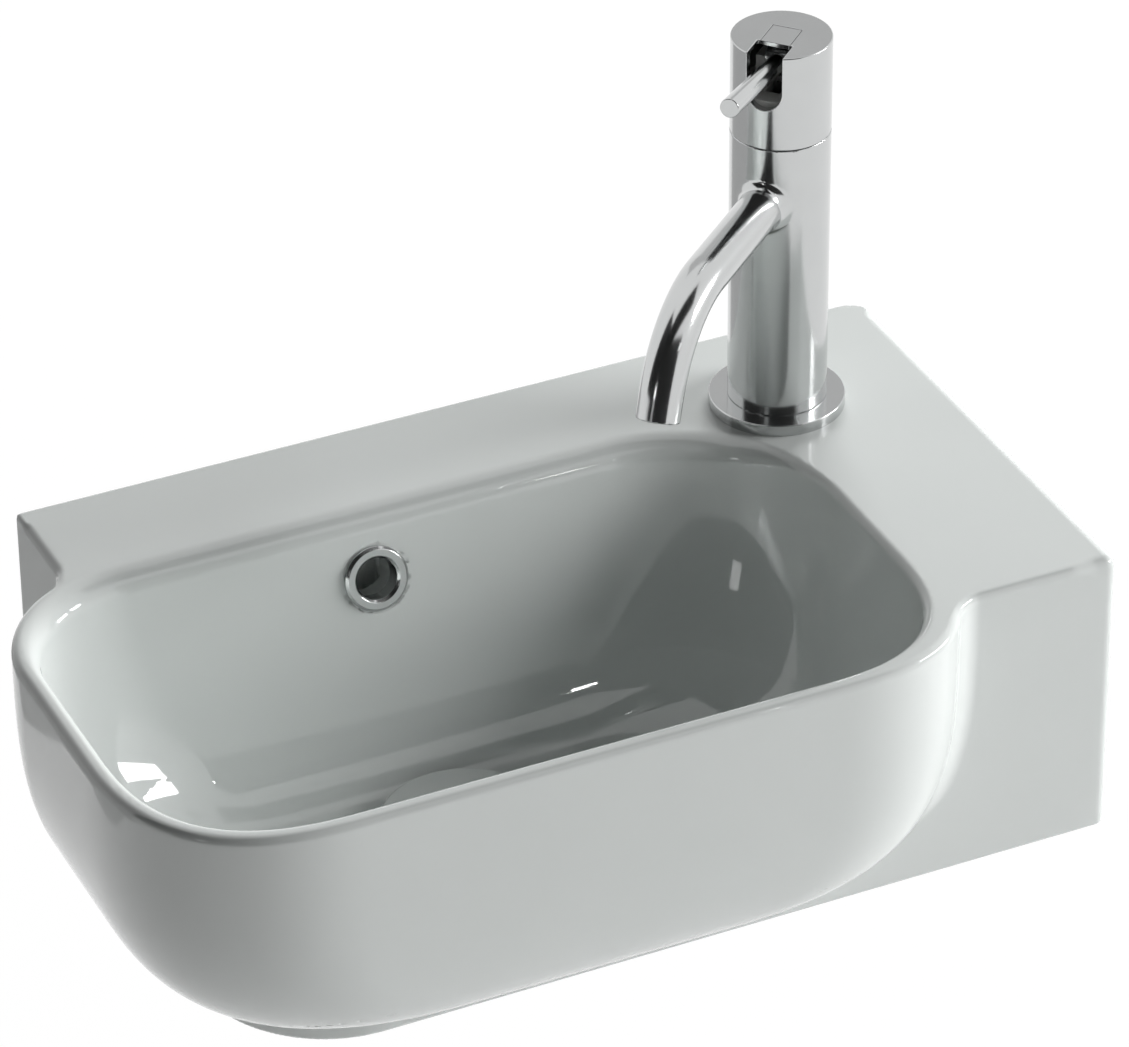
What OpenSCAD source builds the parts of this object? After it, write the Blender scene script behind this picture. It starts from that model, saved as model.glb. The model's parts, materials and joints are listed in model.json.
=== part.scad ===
// Wall-hung handbasin with a single-lever tap, a push-open waste and an overflow.
// Millimetres. +X to the right, -Y to the front, +Z up.
// The origin is the middle between the two wall-fixing holes, on the wall face.

/* [Basin block] */
// Width of the ledge and block along the wall
ledge_w = 412.5; // [380:0.5:450]
// Depth of the ledge at its left end
ledge_d = 57; // [52:0.5:62]
// Depth of the block from wall to front face
block_d = 237.5; // [226:0.5:250]
// Height from the foot to the ledge
basin_h = 139.5; // [136:0.5:148]
// Thickness of the outer ceramic walls
wall_t = 10; // [8:0.5:12]
// Thickness of the ledge where the tap is fixed
deck_t = 12; // [9:0.5:14]
// Rounding of the outer edges
edge_r = 4; // [2:0.5:5]
// Rounding of the edge at the right end
end_edge_r = 6.5; // [4:0.5:9]
// Rounding of the edge at the wall
wall_edge_r = 1.5; // [0.5:0.5:3]
// Plan radius of the rear right corner
rear_corner_r = 13; // [8:0.5:18]
// Set-in of the foot at the left end
foot_in = 7; // [4:0.5:12]
// Plan radius of the foot at its front left corner
foot_r = 60; // [50:1:70]

/* [Bowl] */
// How far the bowl stands out to the left of the ledge
bowl_left = 42; // [30:1:44]
// How far the bowl stands out in front of the block
bowl_front = 36.5; // [28:1:44]
// Right side of the bowl body, from the ledge's left end
bowl_right = 341.5; // [336:1:346]
// Height of the bowl body above the foot of the basin
bowl_lift = 9.5; // [7:0.5:13]
// Plan radius of the front left corner
bowl_left_r = 93; // [84:1:98]
// Plan radius of the front right corner
bowl_front_r = 82; // [76:1:90]
// Plan radius of the rear corners
bowl_rear_r = 64; // [58:1:68]
// Squareness of the front corners, 2 is round
bowl_n = 2.7; // [2.2:0.1:3]
// Thickness of the bowl's rim and skin
bowl_t = 9; // [7:0.5:10]
// Height of the bowl floor above the underside of the bowl body
floor_lift = 22; // [20:0.5:26]
// Fall of the floor towards the waste
floor_fall = 1.5; // [0:0.5:2]
// Back edge of the bowl's mouth, from the wall
mouth_back = 65.5; // [62:0.5:70]
// Right edge of the bowl's mouth, from the ledge's left end
mouth_right = 326; // [320:0.5:328]
// Plan radius of the mouth's rear right corner
mouth_corner_r = 72; // [64:1:80]
// Radius of the soft roll from ledge to back wall
roll_r = 10; // [6:0.5:12]

/* [Wall fixing] */
// Distance between the two wall-fixing holes
fixing_pitch = 200; // [180:1:220]
// Depth of the holes below the ledge
fixing_drop = 65; // [55:1:75]
// Bore of the bushes, for the wall bolts
fixing_bore = 10.5; // [8.5:0.5:12.5]

/* [Overflow and waste] */
// Waste and overflow, from the ledge's left end
waste_x = 137; // [128:1:148]
// Waste centre, from the wall
waste_y = 165.5; // [160:0.5:170]
// Diameter of the ceramic waste cap
waste_cap_d = 75; // [70:1:80]
// Thickness of the ceramic waste cap at its rim
waste_cap_t = 5; // [4:0.5:6]
// Stroke of the waste cap
waste_stroke = 5; // [3:0.5:6]
// Outer diameter of the waste thread, G 1 1/4
waste_d = 41.9; // [40:0.1:43]
// Length of the waste body under its flange
waste_l = 60; // [52:1:62]
// Depth of the overflow centre below the ledge
overflow_z = 29; // [26:0.5:34]
// Outer diameter of the overflow ring
overflow_d = 29.6; // [26:0.2:32]
// Clear opening of the overflow ring
overflow_bore = 18.6; // [15:0.2:19]
// Lean of the bowl's back wall at the overflow
overflow_lean = 16; // [12:1:20]

/* [Tap] */
// Tap centre, from the ledge's left end
tap_x = 337.5; // [332:0.5:344]
// Tap centre, from the wall
tap_y = 61; // [56:0.5:66]
// Plan direction of the spout and the lever
tap_turn = 222; // [200:1:250]
// Diameter of the tap body
tap_d = 44.1; // [43:0.1:46]
// Height of the tap above the ledge
tap_h = 184; // [180:1:195]
// Height of the turning cap
cap_h = 45; // [43:0.5:47]
// Diameter of the base flange
flange_d = 60.6; // [56:0.2:64]
// Thickness of the base flange
flange_t = 5.4; // [4:0.2:7]
// Diameter of the tap hole in the ledge
tap_hole_d = 35; // [33:0.5:37]
// Outer diameter of the spout
spout_d = 19.2; // [17:0.1:20]
// Wall of the spout
spout_wall = 1.6; // [1:0.1:2.2]
// Depth of the spout's root below the seam of the cap
spout_drop = 29.2; // [27:0.2:38]
// Rise of the spout's straight run
spout_rise = 1.8; // [0:0.2:6]
// Straight run of the spout, from the tap axis
spout_run = 86.8; // [70:0.2:110]
// Bend radius of the spout
spout_bend = 52.8; // [40:0.2:60]
// Angle through which the spout bends
spout_angle = 69.3; // [50:0.5:90]
// Straight end of the spout
spout_end = 9.2; // [6:0.2:20]
// Diameter of the lever pin
lever_d = 8.6; // [7:0.1:10]
// Reach of the lever pin from the tap axis
lever_reach = 61; // [45:0.5:75]
// Rise of the lever pin when the tap is shut
lever_rise = 7; // [2:0.5:9]
// Width of the slot in the cap
slot_w = 16; // [13:0.5:17]
// Depth of the slot below the top of the cap
slot_h = 25.7; // [22:0.1:26]
// Start of the slot in front of the tap axis
slot_start = 8; // [7:0.5:9]

/* [Hidden] */

$fn = 64;

// Small distances: a close fit, a running gap, and how far a cut reaches past what it cuts
fit = 0.05;
play = 0.3;
eps = 0.5;
through = 30;

glaze = [0.82, 0.84, 0.83];
steel = [0.72, 0.73, 0.73];
brass = [0.78, 0.66, 0.38];
rubber = [0.16, 0.16, 0.17];
white_plastic = [0.90, 0.90, 0.88];

// Basin, measured from the ledge's left end, the wall and the ledge
corner_steps = 10;
body_steps = 12;
edge_steps = 4;
bowl_h = basin_h - bowl_lift;
floor_h = bowl_h - floor_lift;
left_x = -bowl_left;
front_y = -(block_d + bowl_front);
body_back_y = -(ledge_d - edge_r);
basin_w = ledge_w + bowl_left;
side_swell = 116;
side_power = 3.9;
left_swell = 131;
left_power = 3.7;
left_growth = 0.6;
front_swell = 67;
front_power = 4.4;
corner_growth = 0.3;
foot_h = 21;
shoulder_fillet = 9;
seam_fillet = 1.5;
fillet_shrinks_at = bowl_h - 35;
fillet_shrinks_over = 28;
left_hollow_end = bowl_h - 34;
right_hollow_end = bowl_h - 8;
hollow_steps = 6;
hollow_in = 10;
corner_r = 2;
least_corner_r = 0.2;
corner_room = 0.96;
front_corner_r = 6;
block_reach = 90;
inside_corner_r = 6;

// Inside of the bowl
mouth_left = left_x + bowl_t;
mouth_front = front_y + bowl_t;
mouth_rear_step = 6;
mouth_rear_r = bowl_rear_r - mouth_rear_step;
mouth_left_r = bowl_left_r - bowl_t;
mouth_front_r = bowl_front_r - bowl_t;
in_side_swell = 75;
in_front_swell = 55;
in_back_swell = 35;
in_power = 2.5;
in_side_taper = 6;
in_front_taper = 4;
in_back_taper = 30;
skin_floor_t = 10;

// Bushes in the wall-fixing holes
bush_wall = 1.75;
bush_rim = 3.75;
bush_rim_t = 3;

// Waste, measured down from the ledge
recess_clear = 1.5;
recess_depth = 4;
recess_z = -(floor_h + recess_depth);
waste_r = waste_d / 2;
waste_wall = 2.5;
waste_flange_r = 32;
waste_flange_t = 2;
top_seal_t = 1;
top_seal_in = 1;
waste_flange_top = recess_z + top_seal_t + waste_flange_t;
waste_bore_r = waste_r - waste_wall;
waste_neck_step = 0.3;
waste_neck_r = waste_r + waste_neck_step;
waste_relief_in = 0.8;
waste_relief_r = waste_r - waste_relief_in;
waste_relief_l = 2.5;
waste_hole_gap = 2;
waste_hole_r = waste_r + waste_hole_gap;
boss_t = 12;
boss_z = recess_z - boss_t;
boss_r = 40;
boss_up = 20;
lower_seal_t = 5;
lower_seal_w = 12;
slip_t = 1.5;
slip_w = 11;
slip_gap = 0.2;
backnut_t = 9;
backnut_w = 9;
cap_seal_t = 1.5;
cap_seal_in = 4;
cap_seal_r = waste_flange_r - cap_seal_in;
cap_seal_w = 4;
cap_stop = 0.2;
carrier_t = 2;
carrier_in = 3;
carrier_r = waste_flange_r - carrier_in;
cap_low = waste_flange_top + cap_seal_t + cap_stop + waste_stroke;
cap_edge = 1;
cap_lip = 1.6;
cap_crown = 1;
plunger_d = 8;
plunger_l = 48;
guide_drop = 34;
guide_h = 18;
guide_z = recess_z - guide_drop;
guide_rib = 4;
guide_rim = 2;
guide_wall = 3;
backnut_z = boss_z - lower_seal_t - slip_t - backnut_t;
spring_gap = 0.6;
spring_w = 1.8;
waste_slot_w = 24;
waste_slot_h = 6;

// Overflow channel inside the casting
duct_w = 18;
duct_t = 7;
duct_wall = 4;
duct_front_wall = 2;
duct_y = -(mouth_back - roll_r - duct_front_wall);
duct_low = boss_z + duct_wall;
duct_h = 5;
casing_reach = 41;
casing_h = 68;
duct_reach = 21;
ring_tail_t = 1.2;
ring_tail_l = 7;
ring_lip_t = 2.4;
ring_slope = 1.2;
ring_gap = 0.1;
seat_gap = 0.5;

// Tap, measured up from the ledge along its own axis
seam_z = tap_h - cap_h;
spout_z = seam_z - spout_drop;
body_r = tap_d / 2;
edge_cut = 0.4;
spigot_gap = 2.7;
spigot_r = tap_hole_d / 2 - spigot_gap;
spigot_l = 4;
chamber_r = 12;
chamber_low = 24;
cart_r = 17.5;
cart_neck_r = 15;
cart_gap = 0.1;
cart_floor_t = 2.2;
cart_z = spout_z + spout_d / 2 + cart_floor_t;
cart_skirt_h = 13;
shoulder_z = cart_z + cart_skirt_h;
nut_rise = 4.5;
nut_top = seam_z + nut_rise;
disc_lift = 6;
disc_z = shoulder_z + disc_lift;
disc_t = 4;
disc_r = 13.2;
disc_port_r = 3;
port_at = 7;
disc_seal_t = 1.5;
moving_r = 8.3;
moving_back = 3.9;
moving_t = 4.6;
socket_floor_t = 0.6;
cart_head_h = 16;
cart_top = disc_z + cart_head_h;
cap_wall = 3.7;
cavity_r = body_r - cap_wall;
cap_top_t = 2.2;
pivot_drop = 12;
pivot_z = tap_h - pivot_drop;
pivot_d = 3;
hub_r = 7.2;
hub_cheek = 0.8;
hub_w = lever_d + 2 * hub_cheek;
cheek_t = 4;
cheek_w = 12;
cheek_top = 3.5;
carrier_low = cart_top + play;
carrier_base_t = 4;
carrier_slot_l = 20;
carrier_screw_d = 3;
carrier_screw_l = 6;
carrier_screw_in = 0.4;
key_d = 1.5;
stem_w = 5;
stem_play = 0.8;
stem_lift = 1.3;
stem_foot = disc_z + disc_t + stem_lift;
stem_grip = 4;
stem_top = pivot_z - hub_r + stem_grip;
lever_root = 3;
insert_step = 1.3;
insert_w = slot_w - 2 * insert_step;
insert_back = 7;
gasket_t = 1.2;
gasket_rim = 2.5;
gasket_in = 1;
stud_d = 8;
stud_back = 9;
stud_low = -52;
stud_top = 10;
inlet_d = 9;
inlet_depth = 12;
inlet_side = 8;
inlet_front = 3.5;
inlet_way_d = 6;
horseshoe_r = 24;
horseshoe_gap_r = 14;
stud_gap = 0.3;
rubber_t = 3;
plate_t = 2;
tap_nut_t = 13;
tap_nut_d = 15;
root_in = 4;
root_flare = 7;
root_reach = 7;
aerator_l = 8;
aerator_in = 0.6;
aerator_hole_d = 2.4;
bend_lap = 1;
bend_slack = 0.04;

// Places
module from_ledge() {
    translate([-ledge_w / 2, 0, fixing_drop]) children();
}

module at_waste() {
    from_ledge() translate([waste_x, -waste_y, 0]) children();
}

module at_tap() {
    from_ledge() translate([tap_x, -tap_y, 0]) rotate([0, 0, tap_turn]) children();
}

module at_spout() {
    translate([0, 0, spout_z]) rotate([0, -spout_rise, 0]) children();
}

module at_lever() {
    translate([0, 0, pivot_z]) rotate([0, -lever_rise, 0]) children();
}

module at_overflow() {
    from_ledge() translate([waste_x, -back_wall(overflow_z), -overflow_z])
        rotate([90 - overflow_lean, 0, 0]) children();
}

// Ring with square edges, standing on z
module ring(r_out, r_in, h, z = 0) {
    translate([0, 0, z]) difference() {
        cylinder(r = r_out, h = h);
        translate([0, 0, -eps]) cylinder(r = r_in, h = h + 2 * eps);
    }
}

// Share of the corner radii that a box has room for
function radius_share(box, r) =
    let (w = corner_room * (box[1] - box[0]), d = corner_room * (box[3] - box[2]))
    min(1, w / (r[0] + r[1]), w / (r[2] + r[3]), d / (r[0] + r[3]), d / (r[1] + r[2]));

// Closed outline with four superelliptic corners.
// Box is [left, right, front, back]; corners run rear right, rear left, front left, front right.
function outline(box, radii, n, z) = [
    for (i = [0:3])
        let (r = radii * radius_share(box, radii),
             sx = (i == 0 || i == 3) ? 1 : -1, sy = i < 2 ? 1 : -1,
             cx = (sx > 0 ? box[1] : box[0]) - sx * r[i],
             cy = (sy > 0 ? box[3] : box[2]) - sy * r[i])
        for (j = [0:corner_steps])
            let (a = 90 * (i % 2 == 0 ? j : corner_steps - j) / corner_steps)
            [cx + sx * r[i] * pow(cos(a), 2 / n[i]), cy + sy * r[i] * pow(sin(a), 2 / n[i]), z]
];

// Solid skinned over outlines that run from the lowest to the highest.
// The lowest one closes on a point that lies drop below it, at mid.
module skin(outlines, mid = [0, 0], drop = 0) {
    n = len(outlines[0]);
    k = len(outlines);
    points = concat([for (o = outlines) each o], [[mid[0], mid[1], outlines[0][0][2] - drop]]);
    sides = [
        for (i = [0:k - 2], j = [0:n - 1])
            let (a = i * n + j, b = i * n + (j + 1) % n)
            each [[a, a + n, b + n], [a, b + n, b]]
    ];
    lid = [[for (j = [n - 1:-1:0]) (k - 1) * n + j]];
    flat_foot = [[for (j = [0:n - 1]) j]];
    point_foot = [for (j = [0:n - 1]) [j, (j + 1) % n, k * n]];
    polyhedron(points = points, faces = concat(sides, lid, drop > 0 ? point_foot : flat_foot), convexity = 8);
}

// How far a wall has drawn in at the fraction t of its depth
function swell(t, power) = 1 - pow(1 - pow(min(t, 0.9995), power), 1 / power);

// Fractions of a depth that crowd towards the bottom
function depth_steps(first, steps) = [for (i = [steps:-1:0]) first + (1 - first) * sin(90 * i / steps)];

// Set-in of a rounded edge at the height h below its top
function edge_in(h, r) = h >= r ? 0 : r - sqrt(r * r - (r - h) * (r - h));

// Heights below the top that follow a rounded edge
function edge_heights(r) = [for (i = [edge_steps:-1:0]) r * (1 - cos(90 * i / edge_steps))];

// Straight block with rounded top edges
module rounded_block(box, r, top, foot) {
    skin(concat(
        [outline(box, r, [2, 2, 2, 2], foot)],
        [for (h = edge_heights(end_edge_r))
            let (e = edge_in(h, edge_r), end_e = edge_in(h, end_edge_r), wall_e = edge_in(h, wall_edge_r))
            outline([box[0] + e, box[1] - end_e, box[2] + e, box[3] - wall_e],
                [for (c = r) max(c - e, least_corner_r)], [2, 2, 2, 2], top - h)]
    ));
}

// Radius of the hollow that leads the bowl into the straight faces, at the depth h
function hollow_r(h) =
    let (t = min(max((h - fillet_shrinks_at) / fillet_shrinks_over, 0), 1))
    shoulder_fillet + (seam_fillet - shoulder_fillet) * t * t * (3 - 2 * t);

// Arc of a hollow from the direction a to the direction b, then the points inside the solids
function hollow_outline(mid, r, a, b, inner, z) = concat(
    [for (j = [0:hollow_steps])
        let (turn = a + (b - a) * j / hollow_steps)
        [mid[0] + r * cos(turn), mid[1] + r * sin(turn), z]],
    [for (p = inner) [p[0], p[1], z]]
);

// Hollow between the ledge's left end and the bowl's rear left corner
function left_hollow(h) =
    let (e = edge_in(h, edge_r), r = hollow_r(h),
         corner_x = left_x + left_in(h) + bowl_rear_r, corner_y = body_back_y - bowl_rear_r,
         reach = corner_x + r, mid = [-r, corner_y + sqrt(pow(bowl_rear_r + r, 2) - reach * reach)])
    hollow_outline(mid, r + e, 0, atan2(corner_y - mid[1], corner_x - mid[0]),
        [[hollow_in, mid[1] - hollow_in], [hollow_in, mid[1]]], -h);

// Point on the bowl's front right corner at the turn q, r further out
function corner_at(q, h, r) =
    let (e = edge_in(h, edge_r), size = front_right_r(h) - e, ny = pow(sin(q), 2 - 2 / bowl_n),
         nx = pow(cos(q), 2 - 2 / bowl_n), long = norm([nx, ny]))
    [bowl_right - right_in(h) - e - size + size * pow(cos(q), 2 / bowl_n) + r * nx / long,
     front_y + front_in(h) + e + size - size * pow(sin(q), 2 / bowl_n) - r * ny / long];

// Turn at which the point r outside that corner lies at y, between the turns low and high
function turn_at(y, h, r, low = 0, high = 90, tries = 16) =
    let (mid = (low + high) / 2)
    tries == 0 ? mid
    : corner_at(mid, h, r)[1] > y ? turn_at(y, h, r, mid, high, tries - 1)
    : turn_at(y, h, r, low, mid, tries - 1);

// Hollow between the bowl's front right corner and the block's front face
function right_hollow(h) =
    let (e = edge_in(h, edge_r), r = hollow_r(h) + e, face = -block_d + e,
         q = turn_at(face - r, h, r), mid = corner_at(q, h, r), foot = corner_at(q, h, 0))
    hollow_outline(mid, r, atan2(foot[1] - mid[1], foot[0] - mid[0]), 90,
        [[mid[0], face + hollow_in], [foot[0] - hollow_in, face + hollow_in], [foot[0] - hollow_in, foot[1]]],
        -h);

module hollows() {
    deep = depth_steps(edge_r / bowl_h, body_steps);
    skin(concat(
        [left_hollow(left_hollow_end)],
        [for (t = deep) if (t > edge_r / bowl_h && t * bowl_h < left_hollow_end) left_hollow(t * bowl_h)],
        [for (h = edge_heights(edge_r)) left_hollow(h)]
    ));
    skin(concat(
        [right_hollow(right_hollow_end)],
        [for (t = deep) if (t > edge_r / bowl_h && t * bowl_h < right_hollow_end) right_hollow(t * bowl_h)],
        [for (h = edge_heights(edge_r)) right_hollow(h)]
    ));
}

// How far the bowl body has drawn in at the left, the right and the front, at the depth h
function left_in(h) = left_swell * swell(h / bowl_h, left_power);
function right_in(h) = side_swell * swell(h / bowl_h, side_power);
function front_in(h) = front_swell * swell(h / bowl_h, front_power);

// Plan radii of its front corners there
function front_left_r(h) = bowl_left_r + left_growth * front_in(h);
function front_right_r(h) = bowl_front_r + corner_growth * front_in(h);

function body_outline(h) =
    let (e = edge_in(h, edge_r), rr = bowl_rear_r - e)
    outline([left_x + left_in(h) + e, bowl_right - right_in(h) - e, front_y + front_in(h) + e, body_back_y],
        [rr, rr, front_left_r(h) - e, front_right_r(h) - e], [2, 2, bowl_n, bowl_n], -h);

module bowl_body() {
    skin(concat(
        [for (t = depth_steps(edge_r / bowl_h, body_steps))
            if (t > edge_r / bowl_h) body_outline(t * bowl_h)],
        [for (h = edge_heights(edge_r)) body_outline(h)]
    ));
}

// Distance of the bowl's back wall from the wall, at the depth h
function back_wall(h) =
    let (t = h / floor_h)
    mouth_back + in_back_taper * t + in_back_swell * swell(t, in_power);

// Inside of the bowl, grown by g, at the depth h
function mouth_outline(h, g) =
    let (depth = floor_h + (g > 0 ? skin_floor_t : 0),
         t = h / depth,
         s = swell(t, in_power),
         flare = edge_in(h, edge_r) * (g > 0 ? 0 : 1),
         roll = edge_in(h, roll_r) * (g > 0 ? 0 : 1),
         ix = in_side_swell * s + in_side_taper * t - flare - g,
         iy = in_front_swell * s + in_front_taper * t - flare - g,
         ib = in_back_swell * s + in_back_taper * t - roll - g)
    outline([mouth_left + ix, mouth_right - ix, mouth_front + iy, -(mouth_back + ib)],
        [mouth_corner_r, mouth_rear_r, mouth_left_r, mouth_front_r],
        [2, 2, bowl_n, bowl_n], -h);

module bowl_space() {
    over = mouth_outline(0, 0);
    skin(concat(
        [for (t = depth_steps(roll_r / floor_h, body_steps))
            if (t > roll_r / floor_h) mouth_outline(t * floor_h, 0)],
        [for (h = edge_heights(roll_r)) mouth_outline(h, 0)],
        [[for (p = over) [p[0], p[1], eps]]]
    ), [waste_x, -waste_y], floor_fall);
}

module bowl_skin() {
    depth = floor_h + skin_floor_t;
    skin([for (t = depth_steps(0, body_steps)) mouth_outline(t * depth, bowl_t)]);
}

module channel_casing() {
    half = duct_w / 2 + duct_wall;
    back = duct_y + duct_t / 2 + duct_wall;
    translate([waste_x - half, -waste_y, boss_z]) cube([2 * half, waste_y + back, casing_h]);
    translate([waste_x - half, back - casing_reach, boss_z])
        cube([2 * half, casing_reach, -boss_z - deck_t + eps]);
    translate([waste_x, -waste_y, boss_z]) cylinder(r = boss_r, h = boss_up);
}

module channel() {
    translate([waste_x - duct_w / 2, duct_y - duct_t / 2, duct_low])
        cube([duct_w, duct_t, -duct_low - overflow_z + duct_w / 2]);
    translate([waste_x - duct_w / 2, -waste_y, duct_low])
        cube([duct_w, waste_y + duct_y, duct_h]);
}

module underside() {
    difference() {
        skin([
            for (z = [-basin_h - eps, -deck_t])
                outline([foot_in + wall_t, ledge_w - wall_t, -block_d + wall_t, -wall_t],
                    [inside_corner_r, inside_corner_r, foot_r - wall_t, inside_corner_r], [2, 2, 2, 2], z)
        ]);
        bowl_skin();
        channel_casing();
    }
}

// The casting is brought to its stated overall width
module casting() {
    resize([basin_w, 0, 0]) difference() {
        union() {
            rounded_block([0, ledge_w, -ledge_d, 0],
                [rear_corner_r, corner_r, corner_r, corner_r], 0, -basin_h);
            rounded_block([bowl_right - block_reach, ledge_w, -block_d, 0],
                [rear_corner_r, corner_r, corner_r, front_corner_r], 0, -basin_h);
            skin([for (z = [-basin_h, foot_h - basin_h])
                outline([foot_in, ledge_w, -block_d, 0],
                    [rear_corner_r, corner_r, foot_r, front_corner_r], [2, 2, 2, 2], z)]);
            bowl_body();
            hollows();
        }
        bowl_space();
        underside();
    }
}

module basin() {
    color(glaze) difference() {
        from_ledge() casting();
        from_ledge() channel();
        at_tap() cylinder(d = tap_hole_d, h = through, center = true);
        at_waste() translate([0, 0, boss_z - eps]) cylinder(r = waste_hole_r, h = through);
        at_waste() translate([0, 0, recess_z]) cylinder(r = waste_cap_d / 2 + recess_clear, h = through);
        at_overflow() translate([0, 0, -duct_reach])
            cylinder(r = overflow_bore / 2 + ring_tail_t + ring_gap, h = through);
        at_overflow() cylinder(r = overflow_d / 2 + seat_gap, h = through / 2);
        for (s = [-1, 1])
            translate([s * fixing_pitch / 2, eps, 0]) rotate([90, 0, 0])
                cylinder(r = fixing_bore / 2 + bush_wall, h = wall_t + 2 * eps);
    }
}

module wall_bushes() {
    color(white_plastic) for (s = [-1, 1])
        translate([s * fixing_pitch / 2, 0, 0]) rotate([90, 0, 0]) difference() {
            union() {
                cylinder(r = fixing_bore / 2 + bush_wall - fit, h = wall_t + eps);
                translate([0, 0, wall_t])
                    cylinder(r = fixing_bore / 2 + bush_wall + bush_rim, h = bush_rim_t);
            }
            translate([0, 0, -eps]) cylinder(d = fixing_bore, h = wall_t + bush_rim_t + 2 * eps);
        }
}

module overflow_ring() {
    r = overflow_d / 2;
    b = overflow_bore / 2;
    color(steel) at_overflow() rotate_extrude() polygon([
        [b, -ring_tail_l], [b + ring_tail_t, -ring_tail_l], [b + ring_tail_t, 0],
        [r, 0], [r, ring_lip_t - ring_slope], [r - ring_slope, ring_lip_t],
        [b + ring_slope, ring_lip_t], [b, ring_lip_t - ring_slope]
    ]);
}

module waste_body() {
    color(brass) at_waste() difference() {
        union() {
            translate([0, 0, waste_flange_top - waste_l])
                cylinder(r = waste_r, h = backnut_z - waste_relief_l - waste_flange_top + waste_l);
            translate([0, 0, backnut_z - waste_relief_l - eps])
                cylinder(r = waste_relief_r, h = waste_relief_l + 2 * eps);
            translate([0, 0, backnut_z])
                cylinder(r = waste_neck_r, h = waste_flange_top - waste_flange_t / 2 - backnut_z);
            translate([0, 0, waste_flange_top - waste_flange_t])
                cylinder(r = waste_flange_r, h = waste_flange_t);
        }
        translate([0, 0, waste_flange_top - waste_l - eps])
            cylinder(r = waste_bore_r, h = waste_l + 2 * eps);
        for (a = [0, 90])
            rotate([0, 0, a]) translate([-waste_neck_r - eps, -waste_slot_w / 2, duct_low])
                cube([2 * waste_neck_r + 2 * eps, waste_slot_w, waste_slot_h]);
    }
}

module waste_top_seal() {
    color(rubber) at_waste()
        ring(waste_flange_r - top_seal_in, waste_hole_r + top_seal_in, top_seal_t, recess_z);
}

module waste_lower_seal() {
    color(rubber) at_waste()
        ring(waste_neck_r + lower_seal_w, waste_neck_r + fit, lower_seal_t, boss_z - lower_seal_t);
}

module waste_slip_washer() {
    color(white_plastic) at_waste()
        ring(waste_neck_r + slip_w, waste_neck_r + slip_gap, slip_t, backnut_z + backnut_t);
}

module waste_backnut() {
    color(brass) at_waste() translate([0, 0, backnut_z]) difference() {
        cylinder(r = waste_neck_r + backnut_w, h = backnut_t, $fn = 8);
        translate([0, 0, -eps]) cylinder(r = waste_neck_r + fit, h = backnut_t + 2 * eps);
    }
}

module plunger_guide() {
    rim_r = waste_bore_r - fit;
    rib_r = rim_r - guide_rim / 2;
    color(white_plastic) at_waste() translate([0, 0, guide_z]) difference() {
        union() {
            ring(rim_r, rim_r - guide_rim, guide_rib);
            cylinder(r = plunger_d / 2 + guide_wall, h = guide_h);
            for (a = [0, 60, 120])
                rotate([0, 0, a]) translate([-rib_r, -guide_rib / 2, 0])
                    cube([2 * rib_r, guide_rib, guide_rib]);
        }
        translate([0, 0, -eps]) cylinder(r = plunger_d / 2 + fit, h = guide_h + 2 * eps);
    }
}

module plunger_stem() {
    color(steel) at_waste() translate([0, 0, cap_low + carrier_t - plunger_l])
        cylinder(d = plunger_d, h = plunger_l);
}

module plunger_spring() {
    low = guide_z + guide_h;
    inner_r = plunger_d / 2 + spring_gap;
    color(steel) at_waste() ring(inner_r + spring_w, inner_r, cap_low - low, low);
}

module cap_carrier() {
    color(steel) at_waste() difference() {
        translate([0, 0, cap_low]) cylinder(r = carrier_r, h = carrier_t);
        translate([0, 0, cap_low - eps]) cylinder(r = plunger_d / 2 + fit, h = carrier_t + 2 * eps);
    }
}

module cap_seal() {
    color(rubber) at_waste() ring(cap_seal_r, cap_seal_r - cap_seal_w, cap_seal_t, cap_low - cap_seal_t);
}

module waste_cap() {
    r = waste_cap_d / 2;
    hollow_r = carrier_r + 2 * fit;
    top = waste_cap_t;
    color(glaze) at_waste() translate([0, 0, cap_low]) rotate_extrude() polygon([
        [0, carrier_t], [hollow_r, carrier_t], [hollow_r, 0], [r - cap_edge, 0], [r, cap_edge],
        [r, top - cap_lip], [r - cap_lip / 3, top - cap_lip / 3], [r - cap_lip, top],
        [r * 0.6, top + cap_crown * 0.7], [0, top + cap_crown]
    ]);
}

module base_flange() {
    color(steel) at_tap() difference() {
        union() {
            cylinder(d = flange_d, h = flange_t - edge_cut);
            translate([0, 0, flange_t - edge_cut])
                cylinder(d1 = flange_d, d2 = flange_d - 2 * edge_cut, h = edge_cut);
        }
        translate([0, 0, -eps]) cylinder(r = spigot_r + fit, h = flange_t + 2 * eps);
        ring(flange_d / 2 - gasket_rim, tap_hole_d / 2 + gasket_in, gasket_t + eps, -eps);
    }
}

module tap_gasket() {
    color(rubber) at_tap()
        ring(flange_d / 2 - gasket_rim - 2 * fit, tap_hole_d / 2 + gasket_in + 2 * fit, gasket_t);
}

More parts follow.
